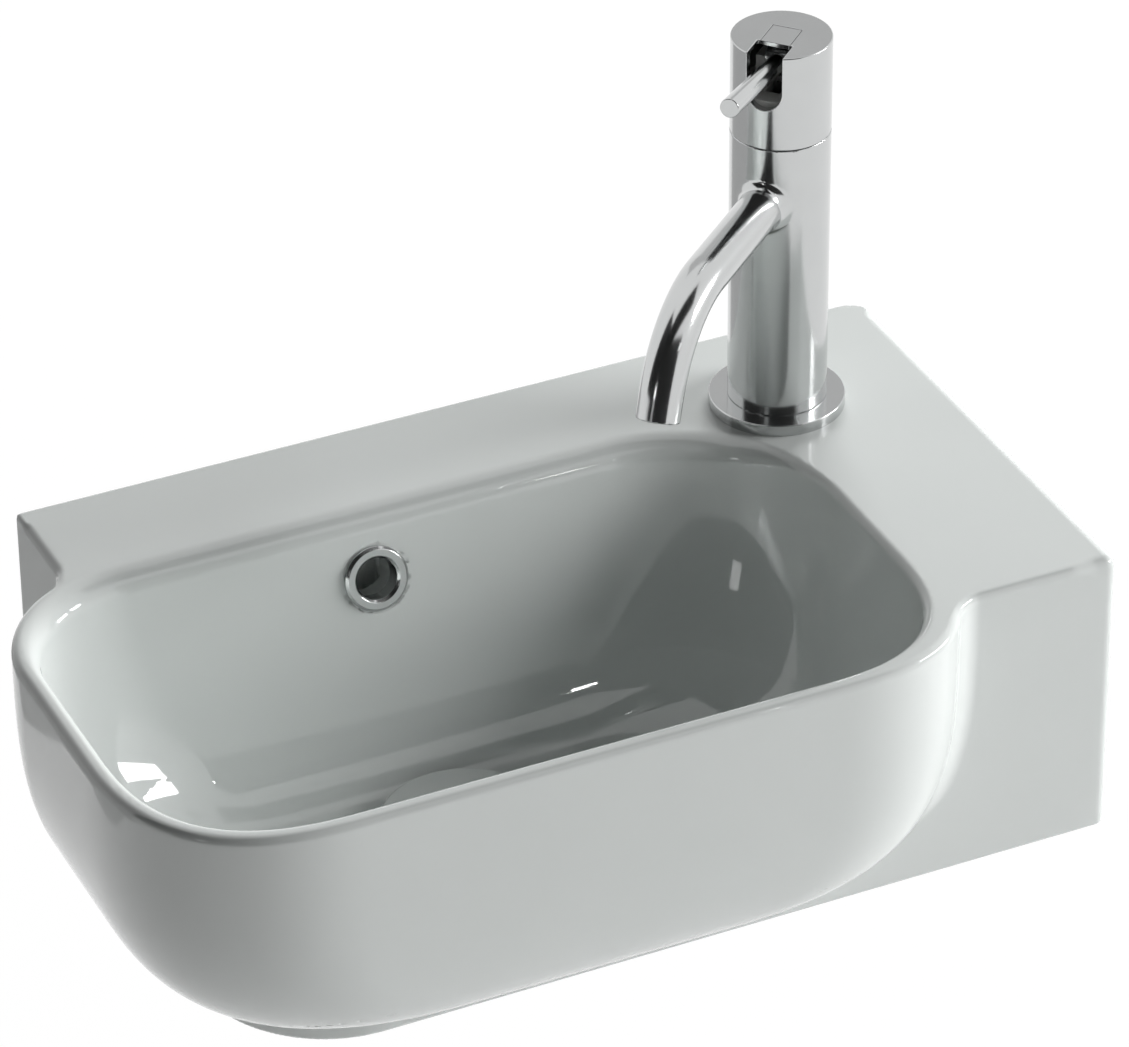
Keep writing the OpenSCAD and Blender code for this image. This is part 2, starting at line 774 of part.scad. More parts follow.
module tap_body() {
    color(steel) at_tap() difference() {
        union() {
            translate([0, 0, flange_t]) cylinder(r = body_r, h = seam_z - flange_t);
            translate([0, 0, -spigot_l]) cylinder(r = spigot_r, h = flange_t + spigot_l + eps);
        }
        translate([0, 0, chamber_low]) cylinder(r = chamber_r, h = seam_z);
        translate([0, 0, cart_z]) cylinder(r = cart_r + cart_gap, h = seam_z);
        at_spout() rotate([0, 90, 0]) cylinder(d = spout_d + 2 * fit, h = 2 * body_r);
        translate([-stud_back, 0, -spigot_l - eps]) cylinder(d = stud_d, h = stud_top + spigot_l + 2 * eps);
        for (s = [-1, 1])
            translate([inlet_front, s * inlet_side, -spigot_l - eps])
                cylinder(d = inlet_d, h = inlet_depth + eps);
        for (s = [-1, 1])
            translate([inlet_front, s * inlet_side, 0]) cylinder(d = inlet_way_d, h = chamber_low + eps);
    }
}

// Run, bend and end of a round bar that follows the spout.
// The bend is a hair thinner and its ends lie inside the straight runs.
module spout_bar(d, extra = 0, start = 0) {
    at_spout() {
        translate([start, 0, 0]) rotate([0, 90, 0]) cylinder(d = d, h = spout_run - start);
        translate([spout_run, 0, -spout_bend]) {
            rotate([0, spout_angle - 90 + bend_lap, 0]) rotate([90, 0, 0])
                rotate_extrude(angle = spout_angle + 2 * bend_lap)
                    translate([spout_bend, 0]) circle(d = d - bend_slack);
            rotate([0, spout_angle, 0]) translate([0, 0, spout_bend]) rotate([0, 90, 0])
                cylinder(d = d, h = spout_end + extra);
        }
    }
}

module spout() {
    root = body_r - root_in;
    color(steel) at_tap() difference() {
        union() {
            spout_bar(spout_d, 0, root);
            difference() {
                at_spout() rotate([0, 90, 0])
                    cylinder(d1 = spout_d + 2 * root_flare, d2 = spout_d, h = body_r + root_reach);
                translate([0, 0, spout_z]) cylinder(r = body_r, h = 2 * through, center = true);
            }
        }
        spout_bar(spout_d - 2 * spout_wall, eps, root - eps);
    }
}

module aerator() {
    r = spout_d / 2 - spout_wall - fit;
    color(steel) at_tap() at_spout() translate([spout_run, 0, -spout_bend])
        rotate([0, spout_angle, 0]) translate([spout_end - aerator_l - aerator_in, 0, spout_bend])
            rotate([0, 90, 0])
                difference() {
                    cylinder(r = r, h = aerator_l);
                    for (a = [0:60:300])
                        rotate([0, 0, a]) translate([r * 0.6, 0, -eps])
                            cylinder(d = aerator_hole_d, h = aerator_l + 2 * eps);
                    translate([0, 0, -eps]) cylinder(d = aerator_hole_d, h = aerator_l + 2 * eps);
                }
}

// Three water ways through the cartridge and its seal and disc
module ports(z, h) {
    for (a = [60, 180, 300])
        rotate([0, 0, a]) translate([port_at, 0, z]) cylinder(r = disc_port_r, h = h);
}

module cartridge_housing() {
    color(white_plastic) at_tap() difference() {
        union() {
            translate([0, 0, cart_z]) cylinder(r = cart_r, h = shoulder_z - cart_z);
            translate([0, 0, shoulder_z - eps]) cylinder(r = cart_neck_r, h = cart_top - shoulder_z + eps);
        }
        translate([0, 0, disc_z - disc_seal_t]) cylinder(r = disc_r + cart_gap, h = cart_top);
        ports(cart_z - eps, cart_top);
    }
}

module disc_seal() {
    color(rubber) at_tap() difference() {
        translate([0, 0, disc_z - disc_seal_t]) cylinder(r = disc_r, h = disc_seal_t);
        ports(disc_z - disc_seal_t - eps, disc_seal_t + 2 * eps);
    }
}

module cartridge_nut() {
    color(brass) at_tap() ring(cart_r, cart_neck_r + cart_gap, nut_top - shoulder_z, shoulder_z);
}

module fixed_disc() {
    color(white_plastic) at_tap() difference() {
        translate([0, 0, disc_z]) cylinder(r = disc_r, h = disc_t);
        ports(disc_z - eps, disc_t + 2 * eps);
    }
}

module moving_disc() {
    low = disc_z + disc_t + fit;
    color(white_plastic) at_tap() difference() {
        translate([-moving_back, 0, low]) cylinder(r = moving_r, h = moving_t);
        translate([-stem_w / 2 - stem_play, -stem_w / 2 - play, low + socket_floor_t])
            cube([stem_w + 2 * stem_play, stem_w + 2 * play, moving_t]);
    }
}

// Hole of the grub screw that holds the cap on its carrier
module carrier_screw_hole() {
    translate([-body_r - eps, 0, carrier_low + carrier_base_t / 2]) rotate([0, 90, 0])
        cylinder(d = carrier_screw_d, h = carrier_screw_in + carrier_screw_l + 2 * eps);
}

module swivel_carrier() {
    base_r = cavity_r - fit;
    color(white_plastic) at_tap() difference() {
        union() {
            translate([0, 0, carrier_low]) cylinder(r = base_r, h = carrier_base_t);
            for (s = [-1, 1])
                translate([-cheek_w / 2, s > 0 ? hub_w / 2 + play : -hub_w / 2 - play - cheek_t, carrier_low])
                    cube([cheek_w, cheek_t, pivot_z + cheek_top - carrier_low]);
        }
        translate([-carrier_slot_l / 2, -stem_w / 2 - stem_play, carrier_low - eps])
            cube([carrier_slot_l, stem_w + 2 * stem_play, carrier_base_t + 2 * eps]);
        translate([0, 0, pivot_z]) rotate([90, 0, 0])
            cylinder(d = pivot_d + 2 * fit, h = 2 * base_r, center = true);
        carrier_screw_hole();
    }
}

module control_cap() {
    low = seam_z + play;
    color(steel) at_tap() difference() {
        translate([0, 0, low]) cylinder(r = body_r, h = tap_h - low);
        translate([0, 0, low - eps]) cylinder(r = cavity_r, h = tap_h - low - cap_top_t + eps);
        translate([slot_start, 0, tap_h - slot_h + slot_w / 2]) {
            rotate([0, 90, 0]) cylinder(d = slot_w, h = body_r);
            translate([0, -slot_w / 2, 0]) cube([body_r, slot_w, slot_h]);
        }
        translate([-insert_back, -insert_w / 2, tap_h - cap_top_t - eps])
            cube([insert_back + slot_start + eps, insert_w, cap_top_t + 2 * eps]);
        carrier_screw_hole();
    }
}

module cap_insert() {
    color(steel) at_tap() translate([-insert_back + fit, -insert_w / 2 + fit, tap_h - cap_top_t])
        cube([insert_back + slot_start - fit, insert_w - 2 * fit, cap_top_t]);
}

module cap_screw() {
    color(steel) at_tap() translate([carrier_screw_in - body_r, 0, carrier_low + carrier_base_t / 2])
        rotate([0, 90, 0]) difference() {
            cylinder(d = carrier_screw_d - 2 * fit, h = carrier_screw_l);
            translate([0, 0, -eps]) cylinder(d = key_d, h = key_d + eps, $fn = 6);
        }
}

module pivot_pin() {
    color(steel) at_tap() translate([0, 0, pivot_z]) rotate([90, 0, 0])
        cylinder(d = pivot_d, h = hub_w + 2 * play + 2 * cheek_t, center = true);
}

module lever_hub() {
    color(brass) at_tap() difference() {
        translate([0, 0, pivot_z]) rotate([90, 0, 0]) cylinder(r = hub_r, h = hub_w, center = true);
        translate([0, 0, pivot_z]) rotate([90, 0, 0])
            cylinder(d = pivot_d + 2 * fit, h = hub_w + 2 * eps, center = true);
        at_lever() translate([lever_root, 0, 0]) rotate([0, 90, 0])
            cylinder(d = lever_d + 2 * fit, h = hub_r);
        translate([-stem_w / 2 - fit, -stem_w / 2 - fit, stem_top - 2 * stem_grip])
            cube([stem_w + 2 * fit, stem_w + 2 * fit, 2 * stem_grip]);
    }
}

module lever_stem() {
    color(steel) at_tap() translate([-stem_w / 2, -stem_w / 2, stem_foot])
        cube([stem_w, stem_w, stem_top - stem_foot]);
}

module lever_pin() {
    end = lever_reach / cos(lever_rise);
    color(steel) at_tap() at_lever() rotate([0, 90, 0]) {
        translate([0, 0, lever_root]) cylinder(d = lever_d, h = end - lever_root - edge_cut);
        translate([0, 0, end - edge_cut]) cylinder(d1 = lever_d, d2 = lever_d - 2 * edge_cut, h = edge_cut);
    }
}

module tap_stud() {
    color(steel) at_tap() translate([-stud_back, 0, stud_low])
        cylinder(d = stud_d - 2 * fit, h = stud_top - stud_low);
}

// Half-moon plate round the stud, open towards the hoses
module horseshoe(h, z) {
    difference() {
        translate([0, 0, z]) cylinder(r = horseshoe_r, h = h);
        translate([-stud_back, 0, z - eps]) cylinder(r = stud_d / 2 + stud_gap, h = h + 2 * eps);
        translate([inlet_front, 0, z - eps]) cylinder(r = horseshoe_gap_r, h = h + 2 * eps);
        translate([inlet_front, -horseshoe_gap_r, z - eps])
            cube([horseshoe_r, 2 * horseshoe_gap_r, h + 2 * eps]);
    }
}

module rubber_horseshoe() {
    color(rubber) at_tap() horseshoe(rubber_t, -deck_t - rubber_t);
}

module steel_horseshoe() {
    color(steel) at_tap() horseshoe(plate_t, -deck_t - rubber_t - plate_t);
}

module tap_nut() {
    color(brass) at_tap() translate([-stud_back, 0, -deck_t - rubber_t - plate_t - tap_nut_t]) difference() {
        cylinder(d = tap_nut_d, h = tap_nut_t, $fn = 6);
        translate([0, 0, -eps]) cylinder(d = stud_d, h = tap_nut_t + 2 * eps);
    }
}

basin();
wall_bushes();
overflow_ring();
waste_body();
waste_top_seal();
waste_lower_seal();
waste_slip_washer();
waste_backnut();
plunger_guide();
plunger_stem();
plunger_spring();
cap_carrier();
cap_seal();
waste_cap();
base_flange();
tap_gasket();
tap_body();
spout();
aerator();
cartridge_housing();
cartridge_nut();
fixed_disc();
moving_disc();
disc_seal();
swivel_carrier();
control_cap();
cap_insert();
cap_screw();
pivot_pin();
lever_hub();
lever_stem();
lever_pin();
tap_stud();
rubber_horseshoe();
steel_horseshoe();
tap_nut();
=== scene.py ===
"""Wall-hung handbasin: the glazed casting, the tap's polished shells, the finishes, the light and the camera.

Shapes are worked out in millimetres. The basin is measured from the ledge's left end, the wall and the
ledge's top. The tap is measured along its own axis, up from the ledge, with X towards the spout.
"""

import math

import bpy
import numpy as np
from mathutils import Matrix, Vector
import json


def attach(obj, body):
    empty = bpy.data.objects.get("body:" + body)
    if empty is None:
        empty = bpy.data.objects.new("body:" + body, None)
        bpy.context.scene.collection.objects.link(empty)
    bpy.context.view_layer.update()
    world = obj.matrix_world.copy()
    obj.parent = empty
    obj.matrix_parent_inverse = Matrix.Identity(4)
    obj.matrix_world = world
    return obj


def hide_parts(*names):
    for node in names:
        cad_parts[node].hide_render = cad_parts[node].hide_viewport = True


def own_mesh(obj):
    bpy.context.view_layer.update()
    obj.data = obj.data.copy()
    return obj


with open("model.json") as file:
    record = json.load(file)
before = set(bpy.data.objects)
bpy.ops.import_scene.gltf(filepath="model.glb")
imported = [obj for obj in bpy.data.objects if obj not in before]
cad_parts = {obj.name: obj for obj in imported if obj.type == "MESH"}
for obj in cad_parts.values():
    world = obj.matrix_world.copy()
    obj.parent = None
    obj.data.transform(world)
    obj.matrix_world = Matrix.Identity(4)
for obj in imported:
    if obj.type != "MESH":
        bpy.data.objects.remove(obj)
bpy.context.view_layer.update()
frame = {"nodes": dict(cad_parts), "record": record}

MM = 0.001

# Basin block
LEDGE_W = 412.5
LEDGE_D = 57
BLOCK_D = 237.5
BLOCK_REACH = 90
BASIN_H = 139.5
WALL_T = 10
DECK_T = 12
EDGE_R = 4
END_EDGE_R = 6.5
WALL_EDGE_R = 1.5
REAR_CORNER_R = 13
CORNER_R = 2
FRONT_CORNER_R = 6
FOOT_IN = 7
FOOT_R = 60
FOOT_H = 21
FOOT_EDGE_R = 2
FIXING_DROP = 65
FIXING_PITCH = 200
FIXING_HOLE_R = 7
HOLE_SPARE = 3
WALL_EDGE_FROM_Y = -14
WALL_EDGE_OVER = 8
END_EDGE_BACK = 24
END_EDGE_OVER = 14
ROOM_CORNER_R = 6
ROOM_FILLET = 3
CORNER_SHARE = 0.96

# Bowl
BOWL_LEFT = 42
BOWL_FRONT = 36.5
BOWL_RIGHT = 341.5
BOWL_H = 130
BOWL_LEFT_R = 93
BOWL_FRONT_R = 82
BOWL_REAR_R = 64
BOWL_N = 2.7
BOWL_T = 9
SIDE_SWELL = 116
SIDE_POWER = 3.9
LEFT_SWELL = 131
LEFT_POWER = 3.7
LEFT_GROWTH = 0.6
FRONT_SWELL = 67
FRONT_POWER = 4.4
CORNER_GROWTH = 0.3
FLOOR_H = 108
FLOOR_FALL = 1.5
FALL_REACH = 100
FLOOR_SINK = 0.15
FLOOR_BLEND = 1
SKIN_FLOOR_T = 10
MOUTH_BACK = 65.5
MOUTH_RIGHT = 326
MOUTH_CORNER_R = 72
MOUTH_REAR_R = BOWL_REAR_R - 6
MOUTH_LEFT_R = BOWL_LEFT_R - BOWL_T
MOUTH_FRONT_R = BOWL_FRONT_R - BOWL_T
IN_SIDE_SWELL = 75
IN_FRONT_SWELL = 55
IN_BACK_SWELL = 35
IN_POWER = 2.5
IN_SIDE_TAPER = 6
IN_FRONT_TAPER = 4
IN_BACK_TAPER = 30
RIM_R = 4
ROLL_R = 9
SHOULDER_FILLET = 9
SEAM_FILLET = 1.5
FILLET_FROM_H = 95
FILLET_OVER = 28
ROLL_FROM_Y = -125
ROLL_OVER = 50

# Waste and overflow
WASTE = (137, -165.5)
CAP_R = 37.5
WASTE_CAP_Z = -102.3
RECESS_GAP = 1.5
RECESS_Z = -112
WASTE_HOLE_R = 22.95
BOSS_R = 40
BOSS_Z = -124
OVERFLOW_Z = -29
OVERFLOW_LEAN = math.radians(16)
OVERFLOW_HOLE_R = 10.6
OVERFLOW_SEAT_R = 15.3
OVERFLOW_REACH = 21
DUCT_HALF = 9
DUCT_Y = (-57, -50)
DUCT_WALL = 4
CASING_H = 68
RISER_D = 41
RUN_H = 5
OVERFLOW_SEAT_EDGE_R = 0.8
RECESS_EDGE_R = 1
RING_BORE_R = 9.3
RING_NECK_R = 10.5
RING_FACE_R = 13.6
RING_R = 14.8
RING_DEEP = 7
RING_EDGE_T = 1.2
RING_T = 2.4
LID_SEAT_R = 29.1
LID_SEAT_H = 2
LID_EDGE_H = 5
LID_DOME = (22.5, 5.7, 60)
LID_H = 6

# Tap
TAP = (337.5, -61)
TAP_TURN = math.radians(222)
TAP_HOLE_R = 17.5
FLANGE_R = 30.3
FLANGE_T = 5.4
BODY_R = 22.05
SEAM_Z = 139
SPIGOT_R = 14.8
SPIGOT_L = 4
CHAMBER_R = 12
CHAMBER_LOW = 24
CART_R = 17.6
CART_Z = 121.6
SPOUT_Z = 109.8
SPOUT_RISE = math.radians(1.8)
SPOUT_RUN = 86.8
SPOUT_BEND = 52.8
SPOUT_ANGLE = math.radians(69.3)
SPOUT_END = 9.2
SPOUT_R = 9.6
SPOUT_WALL = 1.6
SPOUT_BORE = 12
ROOT_FILLET = 4
INLET_AT = (3.5, 8)
INLET_R = 4.5
INLET_WAY_R = 3
INLET_DEPTH = 12
STUD_BACK = 9
STUD_R = 4
STUD_TOP = 10
GASKET_RING = (18.5, 27.8)
GASKET_T = 1.2
TAP_REACH = 150
FINE_EDGE_R = 0.3
CUT_SPARE = 9

# Cap and lever
TAP_H = 184
CAP_LOW = 139.3
CAP_ROOM_R = 18.35
CAP_TOP_T = 2.2
CAP_EDGE_R = 0.5
SLOT_START = 8
SLOT_HALF = 8
SLOT_Z = 166.3
INSERT_BACK = 7
INSERT_HALF = 6.7
INSERT_GAP = 0.12
SCREW_R = 1.5
SCREW_Z = 158.9
PIVOT_Z = 172
LEVER_RISE = math.radians(7)
LEVER_R = 4.3
LEVER_ROOT = 3
LEVER_END = 61.46
SLOT_EDGE_R = 0.35
SEAT_EDGE_R = 0.12
INSERT_EDGE_R = 0.15

# Mesh steps in millimetres, and triangles wanted
BASIN_MESH = (1.5, 180000)
TAP_MESH = (0.8, 90000)
CAP_MESH = (0.4, 90000)
INSERT_MESH = (0.2, 20000)

LEDGE_AT = np.array([-LEDGE_W / 2, 0, FIXING_DROP])
PART_FROM_LEDGE = (np.eye(3), LEDGE_AT)
TAP_AXES = np.array(Matrix.Rotation(TAP_TURN, 3, "Z"))
PART_FROM_TAP = (TAP_AXES, LEDGE_AT + np.array([TAP[0], TAP[1], 0]))


# Fields: negative inside a solid, about the distance to its surface in millimetres
def join(a, b, r):
    """Union with a fillet of radius r in the corner between the two."""
    return np.maximum(np.minimum(a, b), r) - np.hypot(np.maximum(r - a, 0), np.maximum(r - b, 0))


def meet(a, b, r):
    """What two solids share, its edge rounded to radius r."""
    return np.minimum(np.maximum(a, b), -r) + np.hypot(np.maximum(a + r, 0), np.maximum(b + r, 0))


def cut(a, b, r):
    """Solid a without solid b, the edge rounded to radius r."""
    return meet(a, -b, r)


def smooth_step(t):
    t = np.clip(t, 0, 1)
    return t * t * (3 - 2 * t)


def plan_box(x, y, box, radii, powers=(2, 2, 2, 2)):
    """Upright prism with rounded corners.

    Box is left, right, front and back. Corners run rear right, rear left, front left, front right.
    """
    left, right, front, back = box
    rr, rl, fl, fr = radii
    width = CORNER_SHARE * (right - left)
    depth = CORNER_SHARE * (back - front)
    share_x = np.minimum(width / (rr + rl), width / (fl + fr))
    share_y = np.minimum(depth / (rr + fr), depth / (rl + fl))
    share = np.minimum(np.minimum(share_x, share_y), 1)
    d = np.maximum(np.maximum(left - x, x - right), np.maximum(front - y, y - back))
    d = np.array(d, float)
    sides = ((1, 1, right, back), (-1, 1, left, back), (-1, -1, left, front), (1, -1, right, front))
    for (sx, sy, edge_x, edge_y), radius, n in zip(sides, radii, powers):
        r = radius * share
        u = np.broadcast_to(sx * (x - edge_x) + r, d.shape)
        v = np.broadcast_to(sy * (y - edge_y) + r, d.shape)
        here = (u > 0) & (v > 0)
        u, v, r = u[here], v[here], np.broadcast_to(r, d.shape)[here]
        d[here] = (np.hypot(u, v) if n == 2 else (u**n + v**n) ** (1 / n)) - r
    return d


def sloped(plan, h, step=0.1):
    """Field of a solid whose outline at the depth h is plan(h), divided by its steepness."""
    here = plan(h)
    return here / np.sqrt(1 + ((plan(h + step) - here) / step) ** 2)


def swell(t, power):
    """How far a wall has drawn in at the fraction t of its depth."""
    return 1 - (1 - np.clip(t, 0, 0.9995) ** power) ** (1 / power)


def box_field(x, y, z, low, high):
    inside_x = np.maximum(low[0] - x, x - high[0])
    inside_y = np.maximum(low[1] - y, y - high[1])
    inside_z = np.maximum(low[2] - z, z - high[2])
    return np.maximum(np.maximum(inside_x, inside_y), inside_z)


def body_field(x, y, h):
    """Outer skin of the bowl."""

    def plan(depth):
        il = LEFT_SWELL * swell(depth / BOWL_H, LEFT_POWER)
        ix = SIDE_SWELL * swell(depth / BOWL_H, SIDE_POWER)
        iy = FRONT_SWELL * swell(depth / BOWL_H, FRONT_POWER)
        box = (-BOWL_LEFT + il, BOWL_RIGHT - ix, -(BLOCK_D + BOWL_FRONT) + iy, -(LEDGE_D - EDGE_R))
        left_r = BOWL_LEFT_R + LEFT_GROWTH * iy
        front_r = BOWL_FRONT_R + CORNER_GROWTH * iy
        return plan_box(x, y, box, (BOWL_REAR_R, BOWL_REAR_R, left_r, front_r), (2, 2, BOWL_N, BOWL_N))

    return np.maximum(sloped(plan, h), h - BOWL_H)


def back_wall(h):
    """Distance of the bowl's back wall from the wall."""
    t = np.clip(h / FLOOR_H, 0, 1)
    return MOUTH_BACK + IN_BACK_TAPER * t + IN_BACK_SWELL * swell(t, IN_POWER)


def hollow_field(x, y, h, deep):
    """Inside of the bowl, drawn out to the depth deep."""

    def plan(depth):
        t = np.clip(depth / deep, 0, 1)
        s = swell(t, IN_POWER)
        ix = IN_SIDE_SWELL * s + IN_SIDE_TAPER * t
        iy = IN_FRONT_SWELL * s + IN_FRONT_TAPER * t
        box = (
            -BOWL_LEFT + BOWL_T + ix,
            MOUTH_RIGHT - ix,
            -(BLOCK_D + BOWL_FRONT) + BOWL_T + iy,
            -(MOUTH_BACK + IN_BACK_TAPER * t + IN_BACK_SWELL * s),
        )
        radii = (MOUTH_CORNER_R, MOUTH_REAR_R, MOUTH_LEFT_R, MOUTH_FRONT_R)
        return plan_box(x, y, box, radii, (2, 2, BOWL_N, BOWL_N))

    return sloped(plan, h)


def air_field(x, y, h):
    """Room in the bowl, down to a floor that falls to the waste and runs softly into the walls."""
    from_waste = np.hypot(x - WASTE[0], y - WASTE[1])
    floor = FLOOR_H + FLOOR_FALL * np.clip(1 - from_waste / FALL_REACH, 0, 1)
    return meet(hollow_field(x, y, h, floor + FLOOR_SINK), h - floor, FLOOR_BLEND)


def skin_field(x, y, h):
    """The bowl's wall and all that it holds, seen from below."""
    deep = FLOOR_H + SKIN_FLOOR_T
    return np.maximum(hollow_field(x, y, h, deep) - BOWL_T, h - deep)


def along_overflow(x, y, z):
    """Height over the overflow's seat and distance from its axis."""
    seat_y = -back_wall(-OVERFLOW_Z)
    axis = (0, -math.cos(OVERFLOW_LEAN), math.sin(OVERFLOW_LEAN))
    dx, dy, dz = x - WASTE[0], y - seat_y, z - OVERFLOW_Z
    up = dy * axis[1] + dz * axis[2]
    return up, np.hypot(dx, dy * axis[2] - dz * axis[1])


def edge_radius(x, y):
    """Rounding of the top's outer edge: wide at the right end, narrow at the wall."""
    at_wall = smooth_step((y - WALL_EDGE_FROM_Y) / WALL_EDGE_OVER)
    at_end = smooth_step((x - LEDGE_W + END_EDGE_BACK) / END_EDGE_OVER)
    return (EDGE_R + (END_EDGE_R - EDGE_R) * at_end) * (1 - at_wall) + WALL_EDGE_R * at_wall


def basin_field(x, y, z):
    h = -z
    ledge = plan_box(x, y, (0, LEDGE_W, -LEDGE_D, 0), (REAR_CORNER_R, CORNER_R, CORNER_R, CORNER_R))
    block_box = (BOWL_RIGHT - BLOCK_REACH, LEDGE_W, -BLOCK_D, 0)
    block = plan_box(x, y, block_box, (REAR_CORNER_R, CORNER_R, CORNER_R, FRONT_CORNER_R))
    foot = plan_box(x, y, (FOOT_IN, LEDGE_W, -BLOCK_D, 0), (REAR_CORNER_R, CORNER_R, FOOT_R, FRONT_CORNER_R))
    upright = np.minimum(np.minimum(ledge, block), np.maximum(foot, BASIN_H - FOOT_H - h))
    low_down = smooth_step((h - FILLET_FROM_H) / FILLET_OVER)
    fillet = SHOULDER_FILLET + (SEAM_FILLET - SHOULDER_FILLET) * low_down
    solid = join(upright, body_field(x, y, h), fillet)
    solid = meet(solid, z, edge_radius(x, y))
    solid = meet(solid, h - BASIN_H, FOOT_EDGE_R)
    air = air_field(x, y, h)
    to_back = smooth_step((y - ROLL_FROM_Y) / ROLL_OVER)
    solid = cut(solid, air, RIM_R + (ROLL_R - RIM_R) * to_back)

    half = DUCT_HALF + DUCT_WALL
    back = DUCT_Y[1] + DUCT_WALL
    boss = np.maximum(np.hypot(x - WASTE[0], y - WASTE[1]) - BOSS_R, BOSS_Z - z)
    casing_high = (WASTE[0] + half, back, BOSS_Z + CASING_H)
    casing = box_field(x, y, z, (WASTE[0] - half, WASTE[1], BOSS_Z), casing_high)
    riser = box_field(x, y, z, (WASTE[0] - half, back - RISER_D, BOSS_Z), (WASTE[0] + half, back, 0))
    inner_box = (FOOT_IN + WALL_T, LEDGE_W - WALL_T, -BLOCK_D + WALL_T, -WALL_T)
    inner_radii = (ROOM_CORNER_R, ROOM_CORNER_R, FOOT_R - WALL_T, ROOM_CORNER_R)
    room = np.maximum(plan_box(x, y, inner_box, inner_radii), DECK_T - h)
    kept = join(np.minimum(skin_field(x, y, h), boss), np.minimum(casing, riser), ROOM_FILLET)
    solid = cut(solid, meet(room, -kept, ROOM_FILLET), FOOT_EDGE_R)

    duct_low = (WASTE[0] - DUCT_HALF, DUCT_Y[0], BOSS_Z + DUCT_WALL)
    duct = box_field(x, y, z, duct_low, (WASTE[0] + DUCT_HALF, DUCT_Y[1], OVERFLOW_Z + DUCT_HALF))
    run_low = (duct_low[0], WASTE[1], duct_low[2])
    run_high = (WASTE[0] + DUCT_HALF, DUCT_Y[1], duct_low[2] + RUN_H)
    run = box_field(x, y, z, run_low, run_high)
    solid = np.maximum(solid, -np.minimum(duct, run))
    up, off = along_overflow(x, y, z)
    solid = cut(solid, np.maximum(off - OVERFLOW_SEAT_R, -up), OVERFLOW_SEAT_EDGE_R)
    solid = np.maximum(solid, -np.maximum(off - OVERFLOW_HOLE_R, -OVERFLOW_REACH - up))
    from_waste = np.hypot(x - WASTE[0], y - WASTE[1])
    recess = np.maximum(from_waste - CAP_R - RECESS_GAP, RECESS_Z - z)
    solid = cut(solid, recess, RECESS_EDGE_R)
    solid = np.maximum(solid, WASTE_HOLE_R - from_waste)
    solid = np.maximum(solid, TAP_HOLE_R - np.hypot(x - TAP[0], y - TAP[1]))
    for side in (-1, 1):
        across = x - LEDGE_W / 2 - side * FIXING_PITCH / 2
        hole = np.maximum(np.hypot(across, z + FIXING_DROP) - FIXING_HOLE_R, -WALL_T - HOLE_SPARE - y)
        solid = np.maximum(solid, -hole)
    return solid


def upright_rod(x, y, z, at, r, low, high):
    return np.maximum(np.hypot(x - at[0], y - at[1]) - r, np.maximum(low - z, z - high))


def along_spout(x, y, z):
    """Distance from the spout's centre line and the length run along it."""
    c, s = math.cos(SPOUT_RISE), math.sin(SPOUT_RISE)
    u = x * c + (z - SPOUT_Z) * s
    v = (z - SPOUT_Z) * c - x * s
    turned = np.arctan2(u - SPOUT_RUN, v + SPOUT_BEND)
    from_axis = np.hypot(u - SPOUT_RUN, v + SPOUT_BEND) - SPOUT_BEND
    in_bend = np.hypot(from_axis, y)
    in_run = np.hypot(v, y)
    ce, se = math.cos(SPOUT_ANGLE), math.sin(SPOUT_ANGLE)
    du, dv = u - SPOUT_RUN, v + SPOUT_BEND
    past = du * ce - dv * se
    in_end = np.hypot(du * se + dv * ce - SPOUT_BEND, y)
    bend_length = SPOUT_BEND * SPOUT_ANGLE
    off = np.where(u < SPOUT_RUN, in_run, np.where(turned < SPOUT_ANGLE, in_bend, in_end))
    past_run = np.where(turned < SPOUT_ANGLE, SPOUT_BEND * turned, bend_length + past)
    along = np.where(u < SPOUT_RUN, u, SPOUT_RUN + past_run)
    return off, along


def tap_shell_field(x, y, z):
    """Tap body and spout as one polished casting, with the ways for the water."""
    length = SPOUT_RUN + SPOUT_BEND * SPOUT_ANGLE + SPOUT_END
    off, along = along_spout(x, y, z)
    from_axis = np.hypot(x, y)
    body = meet(from_axis - BODY_R, np.maximum(FLANGE_T - z, z - SEAM_Z), FINE_EDGE_R)
    spout = meet(off - SPOUT_R, np.maximum(-along, along - length), FINE_EDGE_R)
    solid = join(body, spout, ROOT_FILLET)
    solid = np.minimum(solid, upright_rod(x, y, z, (0, 0), SPIGOT_R, -SPIGOT_L, FLANGE_T + 1))
    solid = np.maximum(solid, -np.maximum(off - SPOUT_R + SPOUT_WALL, length - SPOUT_BORE - along))
    solid = np.maximum(solid, -np.minimum(
        upright_rod(x, y, z, (0, 0), CHAMBER_R, CHAMBER_LOW, SEAM_Z + CUT_SPARE),
        upright_rod(x, y, z, (0, 0), CART_R, CART_Z, SEAM_Z + CUT_SPARE),
    ))
    solid = np.maximum(solid, -upright_rod(x, y, z, (-STUD_BACK, 0), STUD_R, -SPIGOT_L - CUT_SPARE, STUD_TOP))
    for side in (-1, 1):
        at = (INLET_AT[0], side * INLET_AT[1])
        thread = upright_rod(x, y, z, at, INLET_R, -SPIGOT_L - CUT_SPARE, INLET_DEPTH - SPIGOT_L)
        solid = np.maximum(solid, -thread)
        solid = np.maximum(solid, -upright_rod(x, y, z, at, INLET_WAY_R, 0, CHAMBER_LOW + 1))
    return solid


